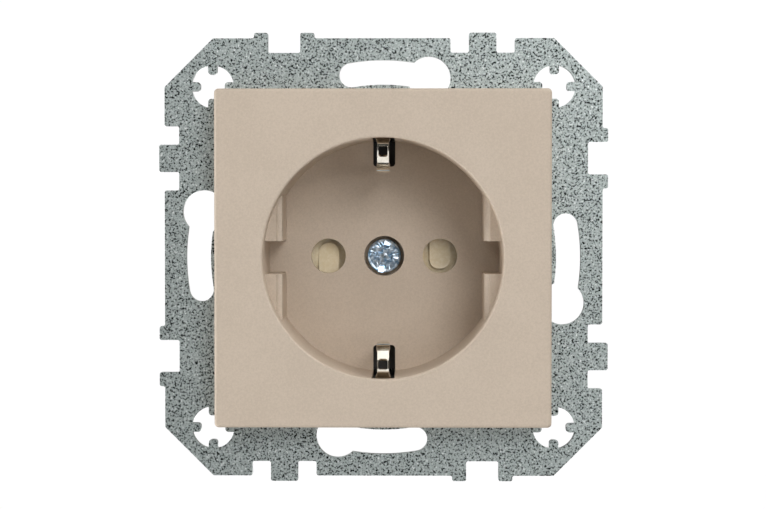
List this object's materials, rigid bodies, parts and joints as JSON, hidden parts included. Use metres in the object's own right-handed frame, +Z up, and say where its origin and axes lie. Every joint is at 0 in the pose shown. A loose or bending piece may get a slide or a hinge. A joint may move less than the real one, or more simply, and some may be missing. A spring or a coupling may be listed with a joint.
{
  "type": "wall socket",
  "caption": "Flush wall socket insert: square plate with a round plug recess, side earth clips, shuttered pin holes, and a slotted steel yoke over its base.",
  "frame": {"origin": "middle of the yoke, in the plane of its back face, which lies on the wall; it is also the centre of the four keyholes", "axes": "+Y into the wall, -Y towards the room, +Z up the wall, +X to the right seen from the room"},
  "size_m": [0.074, 0.0361, 0.074],
  "materials": {
    "plate_plastic": "fine matt moulded, champagne",
    "galvanised_steel": "hot-dip galvanised, speckled",
    "zinc_plated_steel": "bright blue zinc",
    "nickel_strip": "bright nickel plated strip",
    "ivory_plastic": "satin moulded, ivory",
    "housing_plastic": "moulded, light grey",
    "contact_brass": "rolled brass strip",
    "spring_steel": "drawn spring wire"
  },
  "bodies": {
    "base": {"centre_plate": "plate_plastic", "mounting_yoke": "galvanised_steel", "yoke_rivets": "zinc_plated_steel", "centre_screw": "zinc_plated_steel", "shutter_spring": "spring_steel", "contact_cover": "ivory_plastic", "base_housing": "housing_plastic", "earth_strap": "nickel_strip", "clamp_plate_earth": "zinc_plated_steel", "clamp_plate_left": "zinc_plated_steel", "clamp_plate_right": "zinc_plated_steel", "terminal_screw_earth": "zinc_plated_steel", "terminal_screw_left": "zinc_plated_steel", "terminal_screw_right": "zinc_plated_steel", "pin_contact_left": "contact_brass", "pin_contact_right": "contact_brass"},
    "shutter": {"shutter": "ivory_plastic"},
    "claw_left": {"claw_left": "galvanised_steel"},
    "claw_right": {"claw_right": "galvanised_steel"},
    "claw_screw_left": {"claw_screw_left": "zinc_plated_steel"},
    "claw_screw_right": {"claw_screw_right": "zinc_plated_steel"}
  },
  "joints": [
    {"name": "shutter_turn", "type": "hinge", "parent": "base", "child": "shutter", "pos_m": [0, 0.0128, 0], "axis": [0, 1, 0], "range_deg": [0, 41], "stiffness_Nm_per_rad": 0.004, "springref_deg": -20.05, "deforming": ["shutter_spring"]},
    {"name": "claw_screw_left_turn", "type": "hinge", "parent": "base", "child": "claw_screw_left", "pos_m": [-0.0236, -0.0012, 0], "axis": [0, 1, 0], "range_deg": [0, 1080]},
    {"name": "claw_left_swing", "type": "hinge", "parent": "base", "child": "claw_left", "pos_m": [-0.0236, 0.0206, 0], "axis": [0, 0, -1], "range_deg": [0, 18]},
    {"name": "claw_screw_right_turn", "type": "hinge", "parent": "base", "child": "claw_screw_right", "pos_m": [0.0236, -0.0012, 0], "axis": [0, 1, 0], "range_deg": [0, 1080]},
    {"name": "claw_right_swing", "type": "hinge", "parent": "base", "child": "claw_right", "pos_m": [0.0236, 0.0206, 0], "axis": [0, 0, 1], "range_deg": [0, 18]}
  ],
  "couplings": [
    {"joint": "claw_left_swing", "follows": "claw_screw_left_turn", "ratio": 0.016667},
    {"joint": "claw_right_swing", "follows": "claw_screw_right_turn", "ratio": 0.016667}
  ]
}
